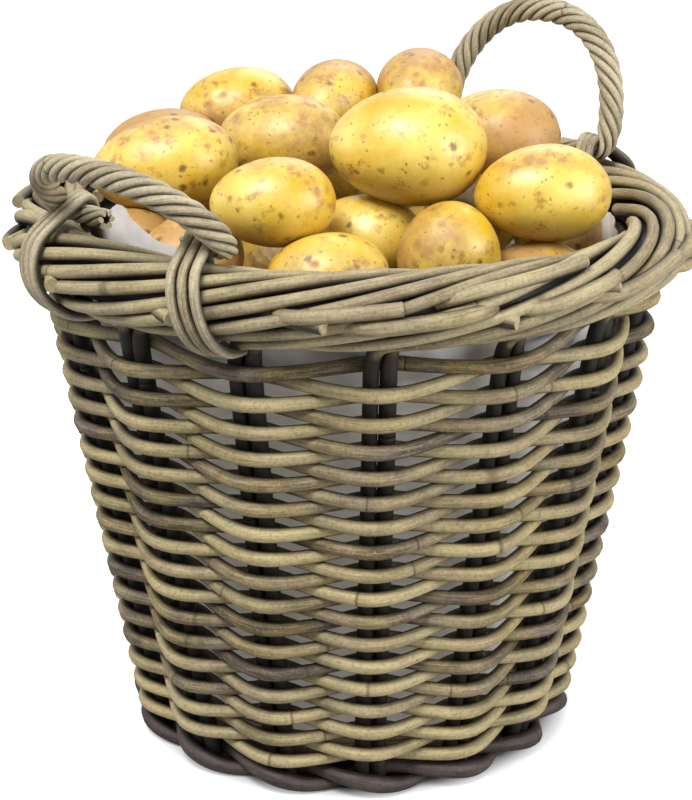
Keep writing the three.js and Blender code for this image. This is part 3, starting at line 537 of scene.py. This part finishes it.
def handle_piece(name, angle, height, lean):
    """Six strands wind left-handed about the bow's middle line, closer together towards the toes. The
    bow is then leant out about its foot line and turned to its side of the basket."""
    line = bow_line(height)
    gaps = np.linalg.norm(np.diff(line, axis=0), axis=-1)
    run = np.concatenate([[0], np.cumsum(gaps)])
    from_end = np.minimum(run, run[-1] - run)
    ease = np.clip((from_end - TOE_L + 6) / 24, 0, 1)
    reach = TOE_R + (ROPE_R - TOE_R) * ease * ease * (3 - 2 * ease)
    strand_r = reach * math.sin(math.pi / STRANDS) / (1 + math.sin(math.pi / STRANDS)) * STRAND_FIT
    along = np.gradient(line, axis=0)
    along /= np.linalg.norm(along, axis=-1, keepdims=True)
    first = np.array([0.0, 1.0, 0.0]) + 0 * line
    second = np.cross(along, first)
    turn = -2 * math.pi * run / ROPE_LAY + np.arange(STRANDS)[:, None] * 2 * math.pi / STRANDS
    wind = (reach - strand_r)[:, None]
    strands = line + wind * (np.cos(turn)[..., None] * first + np.sin(turn)[..., None] * second)
    x, y, z = strands[..., 0], strands[..., 1], strands[..., 2]
    y, z = y * math.cos(lean) + z * math.sin(lean), z * math.cos(lean) - y * math.sin(lean)
    turned = angle - math.pi / 2
    x, y = x * math.cos(turned) - y * math.sin(turned), x * math.sin(turned) + y * math.cos(turned)
    strands = np.stack([x + AXIS_R * math.cos(angle), y + AXIS_R * math.sin(angle), z + AXIS_Z], -1)
    centre = np.mean(strands, 0)
    tone = 0.6 + 0.25 * rng.uniform(-1, 1, (STRANDS, 1)) + 0 * turn
    gauge = np.broadcast_to(strand_r, turn.shape)
    # The side of each strand that faces the rope's middle takes the finish's painted shade, which darkens
    # the grooves between strands.
    return cane_piece(name, strands, strands - centre, gauge, STRAND_SIDES, tone)


rope_finish = cane_finish("rope_cane", pale=tint(206, 194, 162), mid=tint(168, 153, 118),
                          other=tint(152, 138, 116), dark=tint(96, 82, 60), deep=tint(30, 24, 18),
                          node_gap=0.3)
for name, angle, height, lean in (("handle_left", math.pi, 58.0, 44), ("handle_right", 0.0, 93.0, 15)):
    rope = handle_piece(name.replace("handle", "rope"), angle, height, math.radians(lean))
    show(rope, rope_finish, name, "rope", name)


# Lashings: three canes side by side that go over each toe, slant down outside the border and tuck
# under it, so that the handle is tied to the border.
LASH_D, LASH_ANGLE, LASH_SLANT = 6.5, 0.73 * STEP, 30.0
LASH_STRANDS, LASH_SPACE, LASH_SIDES, LASH_STATIONS = 3, 0.4, 8, 120
BORDER_OUT_R, TOE_GAP = 24.6, 0.6


def lashing_piece(name, angle):
    """Strands round the outline that a tight band takes about two circles, the border and the toe.
    The band's point for a direction is the farther of both circles, moved on to the right as it goes."""
    way = np.linspace(math.radians(215), math.radians(-105), 160)
    strand = np.arange(LASH_STRANDS)[:, None] - 1
    share = np.clip((math.radians(130) - way) / math.radians(235), -0.25, 1.0)
    shift = (strand * (LASH_D + LASH_SPACE) + (share - 0.4) * LASH_SLANT) / BORDER_R
    facing = np.stack([np.cos(way), np.sin(way)], -1)
    toe = np.array([AXIS_R / math.cos(LASH_ANGLE) - BORDER_R, AXIS_Z - BORDER_Z])
    border_wrap, toe_wrap = BORDER_OUT_R + LASH_D / 2, TOE_R + TOE_GAP + LASH_D / 2
    on_toe = (facing @ toe + toe_wrap > border_wrap)[:, None]
    outline = np.where(on_toe, toe + toe_wrap * facing, border_wrap * facing)
    path = polar(BORDER_R + outline[:, 0], angle + shift, BORDER_Z + outline[:, 1])
    path = eased(even_path(path, LASH_STATIONS), 2.5)
    hint = polar(1.0, angle + math.pi / 2, 0.0) + 0 * path
    away = path - polar(BORDER_R, np.arctan2(path[..., 1], path[..., 0]), BORDER_Z)
    tone = 0.5 + 0.2 * rng.uniform(-1, 1, (LASH_STRANDS, 1))
    return cane_piece(name, path, hint, LASH_D / 2, LASH_SIDES, tone, away=away)


for name, angle in (("left_front", math.pi + LASH_ANGLE), ("left_back", math.pi - LASH_ANGLE),
                    ("right_front", -LASH_ANGLE), ("right_back", LASH_ANGLE)):
    show(lashing_piece(f"binding_{name}", angle), rope_finish, "basket", "lashing", f"lashing_{name}")


# Potatoes: washed, waxy and yellow, with brown pores, eyes and dusty russet patches. They lie loose;
# each takes the place, turn and size of its solid.
HEAP_TURN = math.radians(-47)
BALL_CELLS, WAVES, EYES, BLUNT, EYE_DEPTH, BROW = 30, 9, 9, 0.1, 0.03, 0.014
POTATOES = {  # length, width and depth in mm, turn and tilt in degrees
    "back_left_under": (84, 66, 60, 30, 0), "back_under": (84, 66, 60, 0, 0),
    "back_right_under": (84, 66, 60, -40, 0), "left_under": (84, 66, 60, 80, 0),
    "front_left": (76, 60, 52, 4, 0), "front_right": (74, 58, 54, -30, 0),
    "front_middle": (66, 62, 66, 20, 20), "right_low": (72, 60, 56, 80, 0),
    "left_low": (70, 58, 54, 100, 0), "front_left_low": (72, 58, 54, 45, 0),
    "middle_low": (80, 62, 58, 60, 0), "back_right": (88, 68, 62, -25, 0),
    "back_left_low": (90, 68, 60, 30, 0), "front_centre": (80, 60, 56, -12, 0),
    "brown_centre": (92, 68, 62, -8, 0), "back_left": (84, 66, 60, 12, 0),
    "back_middle": (80, 60, 56, 70, 0), "left": (98, 66, 62, 8, 8),
    "front": (79, 60, 56, 6, 0), "right": (87, 66, 62, 4, 0),
    "back_top": (76, 60, 56, 75, 0), "top": (102, 82, 76, -6, 0),
}
DUST = 0.15
DUSTY = {"brown_centre": 0.9, "back_left_low": 0.95, "left": 0.42, "back_left": 0.55, "back_middle": 0.6,
         "top": 0.22, "back_right": 0.8, "right_low": 0.6, "left_low": 0.9, "front_left_low": 0.6,
         "back_top": 0.5, "front_right": 0.5, "right": 0.3, "front_left": 0.3, "front_middle": 0.35}


def ball_grid(cells):
    """A ball as the six sides of a cube, each an even-angle grid, pushed out to radius 1; the corners
    that two sides share are one point."""
    line = np.tan(np.linspace(-1, 1, cells + 1) * math.pi / 4)
    a, b = np.meshgrid(line, line, indexing="ij")
    one = np.ones_like(a)
    sides = [(one, a, b), (-one, b, a), (b, one, a), (a, -one, b), (a, b, one), (b, a, -one)]
    points = np.concatenate([np.stack(side, -1).reshape(-1, 3) for side in sides])
    points /= np.linalg.norm(points, axis=-1, keepdims=True)
    ids = np.arange(6 * (cells + 1) ** 2).reshape(6, cells + 1, cells + 1)
    quads = np.stack([ids[:, :-1, :-1], ids[:, 1:, :-1], ids[:, 1:, 1:], ids[:, :-1, 1:]], -1)
    quads = quads.reshape(-1, 4)
    _, keep, merged = np.unique(np.round(points, 5), axis=0, return_index=True, return_inverse=True)
    return points[keep], merged.ravel()[quads]


BALL, BALL_QUADS = ball_grid(BALL_CELLS)


def turn_matrix(axis, angle):
    """Turn about Y (1) or Z (2) by the right-hand rule."""
    c, s = math.cos(angle), math.sin(angle)
    return np.array([[c, 0, s], [0, 1, 0], [-s, 0, c]] if axis == 1 else [[c, -s, 0], [s, c, 0], [0, 0, 1]])


def potato_piece(name, length, width, depth, turn, tilt, dust):
    """A ball drawn out to length, width and depth and blunter at one end, with slow swellings made of
    sine waves and with eyes, small hollows that sit under a low brow. The value "tone" is dust, and
    "under" is 1 on the side that faces down."""
    luck = np.random.default_rng(sum(ord(letter) * (i + 3) for i, letter in enumerate(name)))
    blunt = 1 + BLUNT * BALL[:, :1]
    form = BALL * np.concatenate([np.ones_like(blunt), blunt, blunt], 1)
    form = form * (length / 2, width / 2, depth / 2)
    waves = luck.normal(0, 1.5, (WAVES, 3)) @ BALL.T + luck.uniform(0, 6.3, (WAVES, 1))
    swell = 0.985 + 0.012 * np.sin(waves).sum(0) / 2.2
    eyes = luck.normal(0, 1, (EYES, 3))
    eyes /= np.linalg.norm(eyes, axis=-1, keepdims=True)
    near = np.linalg.norm(BALL[None] - eyes[:, None], axis=-1)
    brow = np.linalg.norm(BALL[None] - eyes[:, None] - (0.09, 0, 0.05), axis=-1)
    swell = swell - EYE_DEPTH * np.exp(-(near / 0.1) ** 2).sum(0)
    swell = swell + BROW * np.exp(-(brow / 0.09) ** 2).sum(0)
    form = form * swell[:, None]
    pose = turn_matrix(2, HEAP_TURN + math.radians(turn)) @ turn_matrix(1, -math.radians(tilt))
    low, high = (np.array(corner) * 1000 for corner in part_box(f"potato_{name}"))
    place = form @ pose.T
    place += (low + high) / 2 - (place.min(0) + place.max(0)) / 2
    lean = luck.normal(0, 1, 3)
    tone = dust + 0.35 * BALL @ (lean / np.linalg.norm(lean)) + 0.1 * np.sin(waves[:3]).sum(0)
    tone = np.clip(tone + 0.7 * np.exp(-(near / 0.07) ** 2).sum(0), 0, 1)
    under = np.clip((-0.1 - (BALL @ pose.T)[:, 2]) / 0.75, 0, 1)
    return fill_mesh(f"{name}_potato", place, BALL_QUADS, np.zeros((BALL_QUADS.size, 2)), 80,
                     tone=tone, under=under)


def potato_finish(name, painted_shade):
    """Waxy yellow skin: cloudy yellow tones, russet netting where the tone says dust, brown pores of
    two sizes, painted shade in dark gold on the side that faces down, a share of painted shade in
    soil brown over all, and a soft sheen."""
    material, shade, output = new_finish(name)
    coord = shade.node("ShaderNodeTexCoord", None, None, "Object")
    dust = shade.node("ShaderNodeAttribute", {"attribute_name": "tone"}, None, "Fac")
    cloud = shade.noise(coord, 28.0, 4.0, 0.6)
    net = shade.noise(coord, 75.0, 6.0, 0.7)
    skin = cloud.steps((0.32, 0.0), (0.68, 1.0)).mix(tint(216, 172, 16), tint(242, 214, 108))
    russet = (net * 0.7 + cloud * 0.3 + dust * 0.46 - 0.2).steps((0.42, 0.0), (0.68, 1.0))
    skin = (russet * 0.9).mix(skin, tint(178, 132, 74))
    scab = shade.noise(coord, 88.0, 4.0, 0.65).steps((0.56, 0.0), (0.67, 1.0))
    skin = (scab * 0.7).mix(skin, tint(158, 106, 42))
    pores = []
    for scale, size, rare in ((210.0, 0.26, 0.5), (70.0, 0.24, 0.46)):
        shift = shade.node("ShaderNodeTexNoise", None, {"Vector": coord, "Scale": 210.0}, "Color")
        shift = shade.node("ShaderNodeVectorMath", {"operation": "SCALE"}, {0: shift, "Scale": 0.0045})
        bent = shade.node("ShaderNodeVectorMath", {"operation": "ADD"}, {0: coord, 1: shift})
        cell = {"Vector": bent, "Scale": scale, "Randomness": 1.0}
        spot = shade.node("ShaderNodeTexVoronoi", None, cell, "Distance")
        pick = shade.node("ShaderNodeTexVoronoi", None, cell, "Color")
        pick = shade.node("ShaderNodeSeparateColor", None, {0: pick}, 0)
        pick = pick.steps((rare, 0.0), (rare + 0.05, 1.0))
        pores.append(spot.steps((size * 0.35, 1.0), (size, 0.0)) * pick)
    skin = (pores[0] * 0.75).mix(skin, tint(122, 82, 34))
    skin = (pores[1] * 0.85).mix(skin, tint(96, 58, 24))
    under = shade.node("ShaderNodeAttribute", {"attribute_name": "under"}, None, "Fac")
    # Painted shade: the side that faces down goes towards a dark gold.
    skin = (under * (0.55 + cloud * 0.4)).mix(skin, tint(112, 74, 8))
    # Painted shade: with a share above 0 the whole skin goes towards a dark soil brown, so that potatoes
    # low in the heap read as lying in shade.
    skin = (net * 0.4 + painted_shade).mix(skin, tint(86, 60, 26)) if painted_shade else skin
    fine = shade.noise(coord, 420.0, 3.0)
    dent = shade.noise(coord, 42.0, 2.0)
    bump = shade.node("ShaderNodeBump", None, {
        "Strength": 0.4, "Distance": 0.001,
        "Height": dent * 2.4 + net * 0.6 + fine * 0.2 - pores[1] * 0.8 - pores[0] * 0.3})
    surface = shade.node("ShaderNodeBsdfPrincipled", None, {
        "Base Color": skin, "Roughness": 0.36 + russet * 0.25 + fine * 0.08, "Normal": bump,
        "Specular IOR Level": 0.7, "Coat Weight": 0.35, "Coat Roughness": 0.38})
    shade.tree.links.new(surface.out, output.inputs["Surface"])
    return material


potato_skin = potato_finish("potato_skin", 0.0)
shaded_skin = potato_finish("shaded_potato_skin", 0.28)
bodies = frame["record"]["behaviour"]["bodies"]
for name, sizes in POTATOES.items():
    body = next(key for key, nodes in bodies.items() if f"potato_{name}" in nodes)
    # The low middle potato, seen in the gaps, takes the skin painted darker all over as shade.
    skin = shaded_skin if name == "middle_low" else potato_skin
    show(potato_piece(name, *sizes, DUSTY.get(name, DUST)), skin, body, "potato", f"potato_{name}")


# Heap below: the potatoes that the others hide, joined in one piece and painted darker brown all over as
# shade.
# It is a copy of its solid, welded and rounded off.
heap_mesh = frame["nodes"]["potato_heap"].data.copy()
heap = bpy.data.objects.new("heap_below", heap_mesh)
bpy.context.scene.collection.objects.link(heap)
heap_mesh.materials.clear()
heap_mesh.attributes.new("tone", "FLOAT", "POINT")
heap_mesh.attributes["tone"].data.foreach_set("value", np.full(len(heap_mesh.vertices), 0.5, np.float32))
weld = heap.modifiers.new("weld", "WELD")
weld.merge_threshold = 0.0002
round_off = heap.modifiers.new("round_off", "SUBSURF")
round_off.levels = round_off.render_levels = 2
show(heap, shaded_skin, "potatoes", "potato", "potato_heap")


# Studio: a pale floor, which is white to the camera and keeps the shadow under the basket, soft lamps,
# and a camera where the photograph was taken from.
VIEW_TURN = math.radians(-47)
CAMERA_BACK, CAMERA_UP, CAMERA_PITCH, FOCAL_PX, MIDDLE_PX = 1.3238, 0.6812, 0.334, 2048.5, 351.06
PICTURE_W, PICTURE_H, SENSOR, FLOOR_HALF, HEAP_MIDDLE = 692, 800, 36, 9, 0.28


def in_view(right, away, up):
    """A place given to the right of, away from and above the basket as the camera sees it."""
    x, y, z = turn_matrix(2, VIEW_TURN) @ (right, away, up)
    return float(x), float(y), float(z)


camera = bpy.data.objects.new("camera", bpy.data.cameras.new("camera"))
bpy.context.scene.collection.objects.link(camera)
camera.location = in_view(0, -CAMERA_BACK, CAMERA_UP)
camera.rotation_euler = (math.pi / 2 - CAMERA_PITCH, 0, VIEW_TURN)
camera.data.sensor_width = SENSOR
camera.data.lens = FOCAL_PX / PICTURE_H * SENSOR
camera.data.shift_x = (PICTURE_W / 2 - MIDDLE_PX) / PICTURE_H
bpy.context.scene.camera = camera

floor_mesh = bpy.data.meshes.new("floor")
floor_corners = [(x * FLOOR_HALF, y * FLOOR_HALF, 0) for x, y in ((-1, -1), (1, -1), (1, 1), (-1, 1))]
floor_mesh.from_pydata(floor_corners, [], [(0, 1, 2, 3)])
floor = bpy.data.objects.new("floor", floor_mesh)
bpy.context.scene.collection.objects.link(floor)
floor_material, shade, output = new_finish("pale_floor")
seen = shade.node("ShaderNodeLightPath", None, None, "Is Camera Ray")
matt = shade.node("ShaderNodeBsdfDiffuse", None, {"Color": (0.5, 0.5, 0.5, 1)})
ground = shade.node("ShaderNodeTexCoord", None, None, "Object")
far = shade.node("ShaderNodeVectorMath", {"operation": "LENGTH"}, {0: ground}, "Value")
clear = far.steps((0.138, 0.0), (0.158, 0.84), (0.5, 0.86), (1.0, 1.0))
glow = shade.node("ShaderNodeEmission", None, {"Color": (1, 1, 1, 1), "Strength": seen * clear})
lit = shade.node("ShaderNodeAddShader", None, {0: matt, 1: glow})
shade.tree.links.new(lit.out, output.inputs["Surface"])
floor_mesh.materials.append(floor_material)

world = bpy.data.worlds.new("studio")
bpy.context.scene.world = world
world.use_nodes = True
world.node_tree.nodes.clear()
shade = Shade(world.node_tree)
path_of = shade.tree.nodes.new("ShaderNodeLightPath")
seen = shade.math("MAXIMUM", Shade(shade.tree, path_of.outputs["Is Camera Ray"]),
                  shade.math("MAXIMUM", Shade(shade.tree, path_of.outputs["Is Glossy Ray"]),
                             Shade(shade.tree, path_of.outputs["Is Transmission Ray"])))
sky = shade.node("ShaderNodeBackground", None, {"Color": (1, 1, 1, 1), "Strength": 0.18 + seen * 0.82})
world_out = world.node_tree.nodes.new("ShaderNodeOutputWorld")
world.node_tree.links.new(sky.out, world_out.inputs["Surface"])


def soft_lamp(name, place, size, power):
    """A square lamp that faces the middle of the heap."""
    lamp = bpy.data.lights.new(name, "AREA")
    lamp.size, lamp.energy = size, power
    holder = bpy.data.objects.new(name, lamp)
    bpy.context.scene.collection.objects.link(holder)
    holder.location = in_view(*place)
    x, y, z = np.array(in_view(0, 0, HEAP_MIDDLE)) - np.array(holder.location)
    holder.rotation_euler = (math.atan2(math.hypot(x, y), -z), 0, math.atan2(-x, y))


soft_lamp("key", (-0.6, -1.0, 2.0), 0.8, 43)
soft_lamp("fill", (1.6, -0.9, 0.8), 1.2, 28)
soft_lamp("edge", (-1.7, 0.1, 0.8), 1.0, 5)
soft_lamp("rim", (0.3, 1.4, 1.6), 1.0, 10)
bpy.context.scene.view_settings.view_transform = "Standard"
